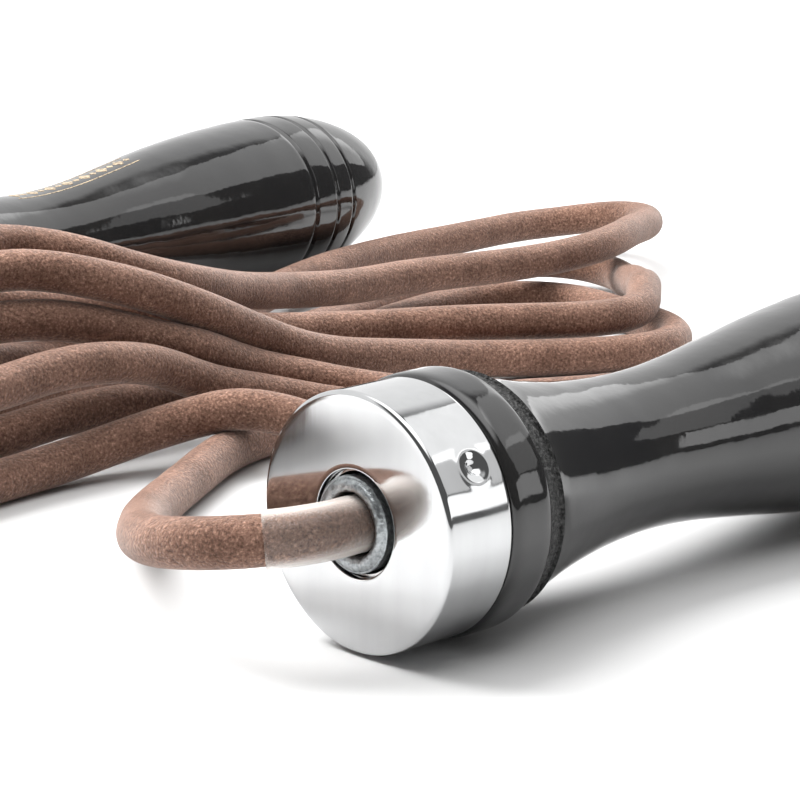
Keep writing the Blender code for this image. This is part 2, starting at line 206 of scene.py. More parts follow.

# The rope's route: out of the front cap, through the hank's runs and into the rear cap
FRONT_LEAD = [
    (-0.0900, -0.0914, 0.0164),
    (-0.0945, -0.0912, 0.0164),
    (-0.0995, -0.0893, 0.0162),
    (-0.1036, -0.0852, 0.0157),
    (-0.1055, -0.0790, 0.0147),
    (-0.1047, -0.0722, 0.0133),
    (-0.1009, -0.0653, 0.0118),
    (-0.0949, -0.0576, 0.0095),
    (-0.0870, -0.0478, 0.0066),
]
HANK = [
    # out across the floor and round the small loop behind the cap
    (-0.0780, -0.0380, 0.0043),
    (-0.0680, -0.0302, 0.0033),
    (-0.0580, -0.0238, 0.00315),
    (-0.0485, -0.0180, 0.00315),
    (-0.0410, -0.0148, 0.00315),
    (-0.0330, -0.0132, 0.00315),
    (-0.0250, -0.0140, 0.00315),
    (-0.0170, -0.0175, 0.00315),
    (-0.0105, -0.0250, 0.00315),
    (-0.0060, -0.0355, 0.00315),
    (-0.0038, -0.0460, 0.00315),
    (-0.0080, -0.0555, 0.00315),
    (-0.0168, -0.0602, 0.00315),
    (-0.0250, -0.0570, 0.00315),
    (-0.0304, -0.0490, 0.00315),
    (-0.0323, -0.0390, 0.0038),
    (-0.0350, -0.0295, 0.0062),
    (-0.0390, -0.0223, 0.0086),
    (-0.0430, -0.0172, 0.0092),
    (-0.0475, -0.0128, 0.0080),
    (-0.0530, -0.0088, 0.0066),
    (-0.0610, -0.0064, 0.0046),
    (-0.0710, -0.0060, 0.0035),
    (-0.0800, -0.0066, 0.00315),
    # lowest left bend
    (-0.0920, -0.0085, 0.00315),
    (-0.1080, -0.0100, 0.00315),
    (-0.1280, -0.0105, 0.00315),
    (-0.1480, -0.0090, 0.00315),
    (-0.1572, -0.0052, 0.00315),
    (-0.1610, 0.0040, 0.00315),
    (-0.1572, 0.0132, 0.00315),
    (-0.1480, 0.0170, 0.00315),
    (-0.1280, 0.0175, 0.00315),
    (-0.1080, 0.0165, 0.00315),
    (-0.0900, 0.0135, 0.0034),
    # along the bottom to the nearest right bend
    (-0.0780, 0.0105, 0.0040),
    (-0.0680, 0.0086, 0.0049),
    (-0.0570, 0.0080, 0.0062),
    (-0.0460, 0.0080, 0.0061),
    (-0.0340, 0.0084, 0.0050),
    (-0.0200, 0.0110, 0.00315),
    (-0.0050, 0.0160, 0.00315),
    (0.0100, 0.0230, 0.00315),
    (0.0260, 0.0305, 0.00315),
    (0.0408, 0.0346, 0.00315),
    (0.0543, 0.0366, 0.00315),
    (0.0656, 0.0348, 0.00315),
    (0.0732, 0.0278, 0.00315),
    (0.0735, 0.0190, 0.00315),
    (0.0716, 0.0084, 0.00315),
    (0.0691, -0.0008, 0.00315),
    (0.0661, -0.0078, 0.00315),
    (0.0605, -0.0126, 0.00315),
    (0.0524, -0.0144, 0.00315),
    (0.0436, -0.0111, 0.00315),
    (0.0346, -0.0065, 0.0033),
    (0.0254, -0.0018, 0.0038),
    (0.0160, 0.0004, 0.0050),
    (0.0060, 0.0012, 0.0066),
    (-0.0040, 0.0022, 0.0082),
    (-0.0130, 0.0030, 0.0106),
    # up over the pile and round the third left bend
    (-0.0240, 0.0035, 0.0152),
    (-0.0345, 0.0028, 0.0202),
    (-0.0430, 0.0045, 0.0240),
    (-0.0515, 0.0065, 0.0268),
    (-0.0580, 0.0100, 0.0284),
    (-0.0655, 0.0135, 0.0290),
    (-0.0760, 0.0165, 0.0278),
    (-0.0920, 0.0180, 0.0250),
    (-0.1120, 0.0185, 0.0215),
    (-0.1320, 0.0185, 0.0188),
    (-0.1520, 0.0170, 0.0174),
    (-0.1612, 0.0132, 0.0169),
    (-0.1650, 0.0040, 0.0166),
    (-0.1612, -0.0052, 0.0164),
    (-0.1520, -0.0090, 0.0164),
    (-0.1320, -0.0105, 0.0162),
    (-0.1120, -0.0095, 0.0162),
    (-0.0950, -0.0075, 0.0165),
    # down the front of the pile and round the loop beside the front handle
    (-0.0790, -0.0056, 0.0163),
    (-0.0685, -0.0040, 0.0169),
    (-0.0600, -0.0040, 0.0168),
    (-0.0490, -0.0030, 0.0147),
    (-0.0393, -0.0022, 0.0112),
    (-0.0305, -0.0035, 0.0080),
    (-0.0215, -0.0060, 0.0052),
    (-0.0153, -0.0100, 0.0036),
    (-0.0085, -0.0175, 0.00315),
    (-0.0015, -0.0285, 0.00315),
    (0.0070, -0.0405, 0.00315),
    (0.0175, -0.0520, 0.00315),
    (0.0290, -0.0605, 0.00315),
    (0.0410, -0.0630, 0.00315),
    (0.0502, -0.0592, 0.00315),
    (0.0540, -0.0500, 0.00315),
    (0.0502, -0.0408, 0.00315),
    (0.0410, -0.0370, 0.00315),
    (0.0310, -0.0343, 0.0035),
    (0.0200, -0.0313, 0.0036),
    (0.0106, -0.0257, 0.0036),
    (0.0015, -0.0195, 0.0033),
    (-0.0050, -0.0115, 0.0044),
    (-0.0122, -0.0048, 0.0058),
    (-0.0180, -0.0010, 0.0078),
    (-0.0265, 0.0010, 0.0104),
    (-0.0365, 0.0008, 0.0146),
    (-0.0445, 0.0040, 0.0172),
    (-0.0520, 0.0065, 0.0198),
    (-0.0590, 0.0090, 0.0212),
    (-0.0660, 0.0120, 0.0214),
    # second left bend
    (-0.0800, 0.0155, 0.0190),
    (-0.0960, 0.0175, 0.0148),
    (-0.1120, 0.0185, 0.0118),
    (-0.1320, 0.0180, 0.0100),
    (-0.1500, 0.0170, 0.0096),
    (-0.1592, 0.0132, 0.0095),
    (-0.1630, 0.0040, 0.0095),
    (-0.1592, -0.0052, 0.0095),
    (-0.1500, -0.0090, 0.0095),
    (-0.1320, -0.0105, 0.0095),
    (-0.1140, -0.0085, 0.0095),
    (-0.0980, -0.0030, 0.0096),
    (-0.0830, 0.0060, 0.0134),
    (-0.0690, 0.0145, 0.0146),
    # along the back to the middle right bend and home over the nearest one
    (-0.0540, 0.0195, 0.0123),
    (-0.0380, 0.0210, 0.0102),
    (-0.0220, 0.0225, 0.0074),
    (-0.0080, 0.0260, 0.0060),
    (0.0060, 0.0310, 0.0049),
    (0.0220, 0.0370, 0.0040),
    (0.0380, 0.0425, 0.0036),
    (0.0540, 0.0470, 0.0036),
    (0.0700, 0.0500, 0.0039),
    (0.0840, 0.0495, 0.0050),
    (0.0940, 0.0450, 0.0051),
    (0.0980, 0.0375, 0.0043),
    (0.0925, 0.0275, 0.0040),
    (0.0840, 0.0165, 0.0066),
    (0.0746, 0.0069, 0.0075),
    (0.0649, -0.0018, 0.0090),
    (0.0575, -0.0071, 0.0084),
    (0.0483, -0.0075, 0.0084),
    (0.0380, -0.0020, 0.0085),
    (0.0260, 0.0045, 0.0089),
    (0.0140, 0.0105, 0.0090),
    (0.0020, 0.0145, 0.0097),
    (-0.0140, 0.0175, 0.0116),
    (-0.0300, 0.0205, 0.0158),
    (-0.0460, 0.0235, 0.0189),
    (-0.0600, 0.0255, 0.0210),
    # top left bend
    (-0.0760, 0.0260, 0.0226),
    (-0.0940, 0.0255, 0.0236),
    (-0.1140, 0.0240, 0.0236),
    (-0.1340, 0.0220, 0.0244),
    (-0.1520, 0.0175, 0.0246),
    (-0.1612, 0.0122, 0.0246),
    (-0.1650, 0.0030, 0.0246),
    (-0.1612, -0.0062, 0.0246),
    (-0.1500, -0.0100, 0.0248),
    (-0.1300, -0.0095, 0.0256),
    (-0.1120, -0.0050, 0.0276),
    (-0.0980, 0.0020, 0.0302),
    (-0.0860, 0.0095, 0.0320),
    # over the top of everything to the farthest right bend
    (-0.0745, 0.0160, 0.0326),
    (-0.0640, 0.0205, 0.0318),
    (-0.0550, 0.0208, 0.0305),
    (-0.0465, 0.0174, 0.0285),
    (-0.0370, 0.0148, 0.0248),
    (-0.0250, 0.0160, 0.0212),
    (-0.0090, 0.0225, 0.0169),
    (0.0090, 0.0290, 0.0135),
    (0.0250, 0.0315, 0.0116),
    (0.0410, 0.0325, 0.0111),
    (0.0570, 0.0310, 0.0106),
    (0.0720, 0.0293, 0.0105),
    (0.0840, 0.0290, 0.0109),
    (0.0960, 0.0320, 0.0112),
    (0.1080, 0.0385, 0.0106),
    (0.1169, 0.0431, 0.0098),
    (0.1232, 0.0477, 0.0092),
    (0.1281, 0.0533, 0.0087),
    (0.1295, 0.0606, 0.0081),
    (0.1276, 0.0673, 0.0071),
    (0.1225, 0.0724, 0.0061),
    (0.1155, 0.0746, 0.0060),
    # back along the far side, under the pile
    (0.0980, 0.0750, 0.0057),
    (0.0760, 0.0735, 0.0058),
    (0.0540, 0.0680, 0.0062),
    (0.0340, 0.0615, 0.0056),
    (0.0140, 0.0520, 0.0048),
    (-0.0080, 0.0420, 0.0040),
    (-0.0300, 0.0340, 0.0035),
    (-0.0520, 0.0295, 0.00315),
    (-0.0720, 0.0280, 0.00315),
    (-0.0860, 0.0283, 0.0033),
    (-0.0980, 0.0298, 0.0044),
    (-0.1075, 0.0355, 0.0062),
]
REAR_LEAD = [
    (-0.1118, 0.0450, 0.0086),
    (-0.1095, 0.0540, 0.0111),
    (-0.1015, 0.0602, 0.0135),
    (-0.0900, 0.0628, 0.0154),
    (-0.0780, 0.0646, 0.0162),
    (-0.0656, 0.0670, 0.0164),
    (-0.0568, 0.0687, 0.0164),
]


# Camera


def add_camera():
    data = bpy.data.cameras.new("camera")
    data.lens = CAMERA_LENS
    data.sensor_width = CAMERA_SENSOR
    data.clip_start = 0.01
    camera = bpy.data.objects.new("camera", data)
    camera.location = CAMERA_PLACE
    camera.rotation_euler = (CAMERA_TILT, 0.0, CAMERA_TURN)
    bpy.context.scene.collection.objects.link(camera)
    bpy.context.scene.camera = camera


# Places and mesh helpers


def handle_matrix(side):
    """From a handle's own frame to the world: Z runs from the cap's face to the butt, X points down."""
    joint = next(j for j in frame["joints"] if j["name"] == f"{side}_handle_spin")
    along = Vector(joint["axis"])
    down = Vector((0.0, 0.0, -1.0))
    turn = Matrix((down, along.cross(down), along)).transposed().to_4x4()
    return Matrix.Translation(joint["pos_m"]) @ turn


AXES = {side: handle_matrix(side) for side in SIDES}


def around_axis(side, s, reach, angle):
    """The place at s along a handle's axis, at a distance from it and an angle round it."""
    return AXES[side] @ Vector((reach * math.cos(angle), reach * math.sin(angle), s))


def along_axis(side, places):
    """The distance s along a handle's axis of each place, and its offset from the axis."""
    origin, along = np.array(AXES[side].translation), np.array(AXES[side].col[2].xyz)
    s = (places - origin) @ along
    return s, places - origin - s[:, None] * along


def add_piece(name, vertices, faces, body, replaced=()):
    """A smooth piece that rides on a body and stands for the CAD nodes named in replaced."""
    mesh = bpy.data.meshes.new(name)
    mesh.from_pydata([tuple(v) for v in vertices], [], [tuple(int(i) for i in f) for f in faces])
    mesh.update()
    mesh.shade_smooth()
    piece = bpy.data.objects.new(name, mesh)
    bpy.context.scene.collection.objects.link(piece)
    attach(piece, body)
    if replaced:
        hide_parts(*replaced)
    return piece


def grid_faces(rows, columns, wrap_rows=False):
    """Quads of a grid whose columns close on themselves, and whose rows may."""
    faces = []
    for r in range(rows if wrap_rows else rows - 1):
        for c in range(columns):
            a = r * columns + c
            b = r * columns + (c + 1) % columns
            up = ((r + 1) % rows) * columns
            faces.append((a, b, up + (c + 1) % columns, up + c))
    return faces


def smooth_curve(points, spacing):
    """Evenly spaced points on a centripetal Catmull-Rom curve through the given points."""
    way = np.array(points, float)
    way = np.vstack([2 * way[0] - way[1], way, 2 * way[-1] - way[-2]])
    fine = []
    for a, b, c, d in zip(way, way[1:], way[2:], way[3:]):
        t1 = math.sqrt(np.linalg.norm(b - a))
        t2 = t1 + math.sqrt(np.linalg.norm(c - b))
        t3 = t2 + math.sqrt(np.linalg.norm(d - c))
        for t in np.linspace(t1, t2, 12, endpoint=False):
            ab = a + (b - a) * t / t1
            bc = b + (c - b) * (t - t1) / (t2 - t1)
            cd = c + (d - c) * (t - t2) / (t3 - t2)
            abc = ab + (bc - ab) * t / t2
            bcd = bc + (cd - bc) * (t - t1) / (t3 - t1)
            fine.append(abc + (bcd - abc) * (t - t1) / (t2 - t1))
    fine = np.array([*fine, way[-2]])
    lengths = np.concatenate([[0.0], np.cumsum(np.linalg.norm(np.diff(fine, axis=0), axis=1))])
    places = np.linspace(0.0, lengths[-1], round(lengths[-1] / spacing) + 1)
    return np.stack([np.interp(places, lengths, fine[:, k]) for k in range(3)], axis=1)


def frames_along(path):
    """Two directions across the path at each point, carried along it without twist."""
    tangents = np.gradient(path, axis=0)
    tangents /= np.linalg.norm(tangents, axis=1, keepdims=True)
    side = np.cross(tangents[0], (0.0, 0.0, 1.0))
    sides = []
    for tangent in tangents:
        side = side - tangent * (side @ tangent)
        side = side / np.linalg.norm(side)
        sides.append(side)
    sides = np.array(sides)
    return sides, np.cross(tangents, sides)


def rings_along(path, radii, segments):
    """Rings of vertices round the path: radii is one row of values for each point, or one value."""
    sides, ups = frames_along(path)
    angles = np.linspace(0.0, 2.0 * math.pi, segments, endpoint=False)
    reach = np.broadcast_to(radii, (len(path), segments))[:, :, None]
    across = np.cos(angles)[None, :, None] * sides[:, None]
    upward = np.sin(angles)[None, :, None] * ups[:, None]
    return (path[:, None] + reach * (across + upward)).reshape(-1, 3)


# The rope's course


def handle_radii(s):
    """Rough radius of a handle's outside at each s, and 0 beyond its ends."""
    places = [0.0, 0.017, 0.030, 0.047, 0.068, 0.092, 0.116, 0.135, 0.145, 0.150]
    radii = [0.016, 0.0164, 0.0123, 0.0105, 0.0123, 0.0154, 0.0164, 0.0139, 0.0090, 0.0030]
    return np.where((s > 0.0) & (s < HANDLE_LENGTH), np.interp(s, places, radii), 0.0)


def push_apart(place, free, apart):
    """Moves stretches of rope that overlap away from each other."""
    between = place[:, None] - place[None, :]
    distance = np.linalg.norm(between, axis=2)
    overlap = np.where(apart, np.maximum(2.0 * ROPE_RADIUS - distance, 0.0), 0.0)
    push = (between / np.maximum(distance, 1e-9)[:, :, None] * overlap[:, :, None]).sum(axis=1)
    touching = np.maximum((overlap > 0.0).sum(axis=1), 1)[:, None]
    place += free * 0.5 * push / touching


def ease_bends(place, free, gap):
    """Opens out the bends that are too tight, and eases the others a little."""
    sag_limit = gap**2 / (2.0 * LEAST_BEND)
    sag = 0.5 * (place[:-2] + place[2:]) - place[1:-1]
    size = np.linalg.norm(sag, axis=1, keepdims=True)
    excess = sag * np.maximum(1.0 - sag_limit / np.maximum(size, 1e-9), BEND_EASE)
    place[1:-1] += free[1:-1] * 0.5 * excess
    place[:-2] -= free[:-2] * 0.25 * excess
    place[2:] -= free[2:] * 0.25 * excess


def keep_length(place, free, gap):
    """Brings each two neighbouring points back towards their distance along the rope."""
    step = place[1:] - place[:-1]
    size = np.linalg.norm(step, axis=1, keepdims=True)
    slack = 0.25 * step * (1.0 - gap / size)
    place[:-1] += free[:-1] * slack
    place[1:] -= free[1:] * slack


def clear_solids(place, free):
    """Moves the rope out of both handles and up onto the floor."""
    for side in SIDES:
        s, out = along_axis(side, place)
        away = np.linalg.norm(out, axis=1)
        need = handle_radii(s) + ROPE_RADIUS
        move = np.where((handle_radii(s) > 0.0) & (away < need), need - away, 0.0)
        place += free * (out / np.maximum(away, 1e-9)[:, None]) * move[:, None]
    place[:, 2:] += free * np.maximum(ROPE_RADIUS - place[:, 2:], 0.0)


def settle(path):
    """Lets the given course settle, so that runs rest on each other and nothing is pierced."""
    place = path.copy()
    gap = np.linalg.norm(np.diff(path, axis=0), axis=1).mean()
    number = np.arange(len(path))
    apart = np.abs(number[:, None] - number[None, :]) * gap > SAME_BEND * ROPE_RADIUS * 2
    free = np.ones((len(path), 1))
    free[:FIXED_POINTS] = free[-FIXED_POINTS:] = 0.0
    for turn in range(ROUNDS):
        if turn < ROUNDS - FREE_ROUNDS:
            place += free * HAND_PULL * (path - place)
        push_apart(place, free, apart)
        ease_bends(place, free, gap)
        keep_length(place, free, gap)
        clear_solids(place, free)
    return place


def rope_path():
    """The rope's centreline from its end in the front handle to its end in the rear handle."""
    route = [*FRONT_LEAD, *HANK, *REAR_LEAD]
    path = settle(smooth_curve(route, SPACING))
    ends = [np.array(AXES[side] @ Vector((0.0, 0.0, ROPE_END_AT))) for side in SIDES]
    return smooth_curve([ends[0], *path, ends[1]], ROPE_STEP)


def add_rope(path):
    """A leather cord, a little uneven in thickness, with flat ends."""
    rows = []
    for index in range(len(path)):
        at = index * ROPE_STEP
        swell = 1.0 + ROPE_SWELL * noise.noise(Vector((at * 60.0, 0.0, 0.0)))
        around = []
        for step in range(ROPE_SEGMENTS):
            angle = 2.0 * math.pi * step / ROPE_SEGMENTS
            spot = Vector((at * 260.0, math.cos(angle) * 0.9, math.sin(angle) * 0.9))
            around.append(ROPE_RADIUS * (swell + ROPE_BUMPS * noise.noise(spot)))
        rows.append(around)
    vertices = rings_along(path, np.array(rows), ROPE_SEGMENTS)
    faces = [face[::-1] for face in grid_faces(len(path), ROPE_SEGMENTS)]
    faces.append(tuple(range(ROPE_SEGMENTS)))
    faces.append(tuple(range(len(vertices) - ROPE_SEGMENTS, len(vertices)))[::-1])
    rope = add_piece("rope", vertices, faces, "rope", ("rope_front_lead", "rope_hank", "rope_rear_lead"))
    rope.data.materials.append(leather_material())
    return rope


def add_sleeve(side, path, material):
    """A thin open tube round the rope, from inside the bearing to a little way outside the cap."""
    if side == "rear":
        path = path[::-1]
    s, _ = along_axis(side, path)
    first = int(np.argmax(s < SLEEVE_TO))
    last = int(np.argmax(s < 0.0)) + round(SLEEVE_REACH / ROPE_STEP)
    run = path[first : last + 1]
    outer = rings_along(run, SLEEVE_OUTER, SLEEVE_SEGMENTS).reshape(len(run), SLEEVE_SEGMENTS, 3)
    inner = rings_along(run, SLEEVE_INNER, SLEEVE_SEGMENTS).reshape(len(run), SLEEVE_SEGMENTS, 3)
    vertices = np.concatenate([outer, inner[::-1]]).reshape(-1, 3)
    faces = [face[::-1] for face in grid_faces(2 * len(run), SLEEVE_SEGMENTS, wrap_rows=True)]
    sleeve = add_piece(f"{side}_sleeve", vertices, faces, "rope", (f"{side}_clear_sleeve",))
    sleeve.data.materials.append(material)
    return sleeve


# Turned pieces: outlines as (s, radius)


def refined(points, step):
    """The outline with points added so that none of its straight runs is longer than step."""
    fine = []
    for (s0, r0), (s1, r1) in zip(points, points[1:]):
        parts = max(1, math.ceil(math.hypot(s1 - s0, r1 - r0) / step))
        fine += [(s0 + (s1 - s0) * i / parts, r0 + (r1 - r0) * i / parts) for i in range(parts)]
    return [*fine, points[-1]]


def arc(center, radius, start, end, steps):
    """Points of an arc round a centre (s, r): angles in degrees from the +s direction towards +r."""
    angles = [math.radians(start + (end - start) * i / steps) for i in range(steps + 1)]
    return [(center[0] + radius * math.cos(a), center[1] + radius * math.sin(a)) for a in angles]


def turned(name, side, profile, segments, body, replaced, material, shape=None):
    """A closed outline turned round a handle's axis. shape may move a point: (s, r, angle) -> (s, r)."""
    ring = [*profile, profile[0]]
    area = sum(a[0] * b[1] - b[0] * a[1] for a, b in zip(ring, ring[1:]))
    outline = profile if area < 0 else profile[::-1]
    vertices = []
    for s, r in outline:
        for step in range(segments):
            angle = 2.0 * math.pi * step / segments
            at, reach = shape(s, r, angle) if shape else (s, r)
            vertices.append(around_axis(side, at, reach, angle))
    faces = grid_faces(len(outline), segments, wrap_rows=True)
    piece = add_piece(name, vertices, faces, body, replaced)
    piece.data.materials.append(material)
    piece.data.set_sharp_from_angle(angle=math.radians(40.0))
    return piece


def neck_radius(s):
    """Radius of the grip's slope, waist and bulb: a smooth curve through the NECK points."""
    places = [p[0] for p in NECK]
    radii = [p[1] for p in NECK]
    index = min(max(int(np.searchsorted(places, s)) - 1, 0), len(NECK) - 2)
    width = places[index + 1] - places[index]
    t = (s - places[index]) / width

    def slope(k):
        if k == 0:
            return (radii[1] - radii[0]) / (places[1] - places[0])
        if k == len(NECK) - 1:
            return 0.0
        return (radii[k + 1] - radii[k - 1]) / (places[k + 1] - places[k - 1])

    m0, m1 = slope(index) * width, slope(index + 1) * width
    r0, r1 = radii[index], radii[index + 1]
    return (
        (2 * t**3 - 3 * t**2 + 1) * r0
        + (t**3 - 2 * t**2 + t) * m0
        + (3 * t**2 - 2 * t**3) * r1
        + (t**3 - t**2) * m1
    )


def body_radius(s):
    """Radius of the grip behind the groove, down to the butt."""
    if s < BULB_START:
        radius = neck_radius(s)
    else:
        share = (s - BULB_START) / (HANDLE_LENGTH - BULB_START)
        radius = BULB_RADIUS * math.sqrt(max(1.0 - share**BUTT_POWER, 0.0))
    for place in BUTT_GROOVES:
        radius -= BUTT_GROOVE_DEPTH * math.exp(-(((s - place) / BUTT_GROOVE_WIDTH) ** 2))
    return radius


def grip_profile():
    """The grip's outline: bore, recess, spigot, bead, rough groove, body and butt."""
    bead_steps = 24
    bead_middle = 0.5 * (BEAD_FROM + BEAD_TO)
    bead = []
    for i in range(bead_steps + 1):
        t = -1.0 + 2.0 * i / bead_steps
        crown = max(1.0 - abs(t) ** BEAD_POWER, 0.0) ** 0.5
        rise = (BEAD_RADIUS - BEAD_EDGE_RADIUS) * crown
        bead.append((bead_middle + t * (BEAD_TO - bead_middle), BEAD_EDGE_RADIUS + rise))
    groove = [
        (BEAD_TO, GROOVE_RADIUS + GROOVE_LIP),
        (BEAD_TO + GROOVE_WALL, GROOVE_RADIUS),
        (GROOVE_TO - GROOVE_WALL, GROOVE_RADIUS),
        (GROOVE_TO, GROOVE_RADIUS + GROOVE_LIP),
    ]
    body = []
    s = GROOVE_TO + 0.00005
    while s < HANDLE_LENGTH - BUTT_BLEND:
        body.append((s, body_radius(s)))
        at_groove = min(abs(s - place) for place in BUTT_GROOVES) < 3.0 * BUTT_GROOVE_WIDTH
        s += GRIP_FINE_STEP if at_groove else GRIP_STEP
    butt_steps = 16
    butt = []
    for i in range(butt_steps):
        inset = BUTT_BLEND * (1.0 - i / butt_steps) ** 2
        flat = BUTT_FLAT_RADIUS * (1.0 - inset / BUTT_BLEND)
        butt.append((HANDLE_LENGTH - inset, math.hypot(body_radius(HANDLE_LENGTH - inset), flat)))
    return [
        (BORE_TIP, CENTER_RADIUS),
        (BORE_TO, BORE_RADIUS),
        (RECESS_TO, BORE_RADIUS),
        (RECESS_TO, RECESS_RADIUS),
        (SPIGOT_AT, RECESS_RADIUS),
        (SPIGOT_AT, SPIGOT_RADIUS),
        (BEAD_FROM, SPIGOT_RADIUS),
        *bead,
        *refined(groove, GROOVE_STEP),
        (GROOVE_TO, body_radius(GROOVE_TO) - 0.00015),
        *body,
        *butt,
        (HANDLE_LENGTH, BUTT_FLAT_RADIUS),
        (HANDLE_LENGTH, CENTER_RADIUS),
    ]


def add_grip(side, lacquer, raw):
    """The lacquered grip, whose groove behind the bead is rough and has a material of its own."""

    def shape(s, r, angle):
        """The groove's floor is left rough by the parting tool and by dried lacquer."""
        if not (BEAD_TO < s < GROOVE_TO and r > GROOVE_RADIUS - 0.0002):
            return s, r
        spot = Vector((s * 2600.0, math.cos(angle) * 38.0, math.sin(angle) * 38.0))
        gouges = GROOVE_GOUGES * noise.noise(spot)
        return s, r + gouges + GROOVE_GRAIN * noise.noise(spot * 2.3)

    grip = turned(f"{side}_handle_grip", side, grip_profile(), GRIP_SEGMENTS, f"{side}_handle",
                  (f"{side}_grip",), lacquer, shape)
    grip.data.materials.append(raw)
    origin = AXES[side].translation
    along = AXES[side].col[2].xyz
    for face in grip.data.polygons:
        place = (face.center - origin).dot(along)
        if BEAD_TO < place < GROOVE_TO:
            reach = ((face.center - origin) - along * place).length
            if reach > GROOVE_RADIUS - 0.0006:
                face.material_index = 1


def cap_profile():
    """The cap's outline: face, rounded rim, side, back edge, inside and hole."""
    inside = CAP_RADIUS - CAP_WALL
    face = [(0.0, CAP_HOLE_RADIUS + HOLE_EDGE), (0.0, CAP_RADIUS - RIM_RADIUS)]
    rim = arc((RIM_RADIUS, CAP_RADIUS - RIM_RADIUS), RIM_RADIUS, 180.0, 90.0, 10)
    side = [(RIM_RADIUS, CAP_RADIUS), (CAP_LENGTH - CAP_EDGE, CAP_RADIUS)]
    inner = [(CAP_LENGTH - 0.25 * CAP_EDGE, inside), (CAP_WALL, inside)]
    return [
        *refined(face, 0.0006),
        *rim[1:],
        *refined(side, 0.0002)[1:],
        (CAP_LENGTH - 0.3 * CAP_EDGE, CAP_RADIUS - 0.3 * CAP_EDGE),
        (CAP_LENGTH, CAP_RADIUS - CAP_EDGE),
        (CAP_LENGTH, inside + 0.5 * CAP_EDGE),
        *refined(inner, 0.0004),
        (CAP_WALL, CAP_HOLE_RADIUS),
        (HOLE_EDGE, CAP_HOLE_RADIUS),
        (0.00004, CAP_HOLE_RADIUS + 0.00005),
    ]


def dimple_depth(distance):
    """How far a punch mark sinks the cap's side at this distance from its middle."""
    crater = DIMPLE_DEPTH * max(1.0 - (distance / DIMPLE_RADIUS) ** 2, 0.0) ** 1.5
    core = DIMPLE_CORE_DEPTH * max(1.0 - (distance / DIMPLE_CORE_RADIUS) ** 2, 0.0)
    lip = DIMPLE_LIP_HEIGHT * math.exp(-(((distance - DIMPLE_RADIUS) / DIMPLE_LIP_WIDTH) ** 2))
    dish = DIMPLE_DISH_DEPTH * math.exp(-((distance / DIMPLE_DISH_RADIUS) ** 2))
    return crater + core - lip + dish


def add_cap(side, chrome):
    """The chromed cap with its punch marks."""
    centers = [math.pi + DIMPLE_TURN + 2.0 * math.pi * n / DIMPLE_COUNT for n in range(DIMPLE_COUNT)]

    def shape(s, r, angle):
        if r < CAP_RADIUS - 0.00003:
            return s, r
        for center in centers:
            turn = (angle - center + math.pi) % (2.0 * math.pi) - math.pi
            distance = math.hypot(turn * CAP_RADIUS, s - DIMPLE_AT)
            if distance < 3.0 * DIMPLE_DISH_RADIUS:
                r -= dimple_depth(distance)
        return s, r

    turned(f"{side}_handle_cap", side, cap_profile(), CAP_SEGMENTS, f"{side}_handle",
           (f"{side}_cap",), chrome, shape)


def add_cone(side, zinc):
    """The bearing's inner cone, with its lip rolled over in the cap's hole."""
    cone = [
        (CONE_BACK, CONE_BORE),
        (CONE_LIP_TO, CONE_BORE),
        *arc((-0.00005, CONE_LIP_CREST + 0.00005), 0.00085, 270.0, 120.0, 16),
        (-0.00055, 0.00545),
        (-0.00042, 0.00560),
        (-0.00046, 0.00568),
        (-0.00030, CONE_LIP_RADIUS),
        (0.0010, CONE_LIP_RADIUS),
        (0.0014, CONE_RADIUS),
        (CONE_SHOULDER_AT, CONE_RADIUS),
        (CONE_SHOULDER_AT, CONE_SHOULDER_RADIUS),
        (CONE_BACK, CONE_SHOULDER_RADIUS),
    ]

    def hammered(s, r, angle):
        """The lip is rolled over by hand, so its inside is uneven."""
        if s > CONE_LIP_TO or r > 0.0052:
            return s, r
        spot = Vector((math.cos(angle) * 7.0, math.sin(angle) * 7.0, r * 2500.0))
        return s + 0.00007 * noise.noise(spot), r + 0.00005 * noise.noise(spot * 1.7)

    turned(f"{side}_bearing_ring", side, refined(cone, 0.0004), CONE_SEGMENTS, "rope",
           (f"{side}_bearing_cone",), zinc, hammered)


def add_cup(side, steel):
    """The bearing's outer cup, which turns with the cap."""
    cup = [
        (CUP_FRONT, CUP_WEB_RADIUS),
        (CUP_FRONT, CUP_RADIUS),
        (CUP_BACK, CUP_RADIUS),
        (CUP_BACK, CUP_INNER_RADIUS),
        (CUP_FRONT + CUP_WEB, CUP_INNER_RADIUS),
        (CUP_FRONT + CUP_WEB, CUP_WEB_RADIUS),
    ]
    turned(f"{side}_bearing_race", side, cup, INNER_SEGMENTS, f"{side}_handle", (f"{side}_bearing_cup",),
           steel)


def add_washer(side, zinc):
    """The washer between the bearing and the ferrule."""
    washer_back = WASHER_AT + WASHER_THICKNESS
    washer = [
        (WASHER_AT, WASHER_BORE),
        (WASHER_AT, WASHER_RADIUS),
        (washer_back, WASHER_RADIUS),
        (washer_back, WASHER_BORE),
    ]
    turned(f"{side}_washer", side, washer, INNER_SEGMENTS, "rope", (f"{side}_stop_washer",),
           zinc)


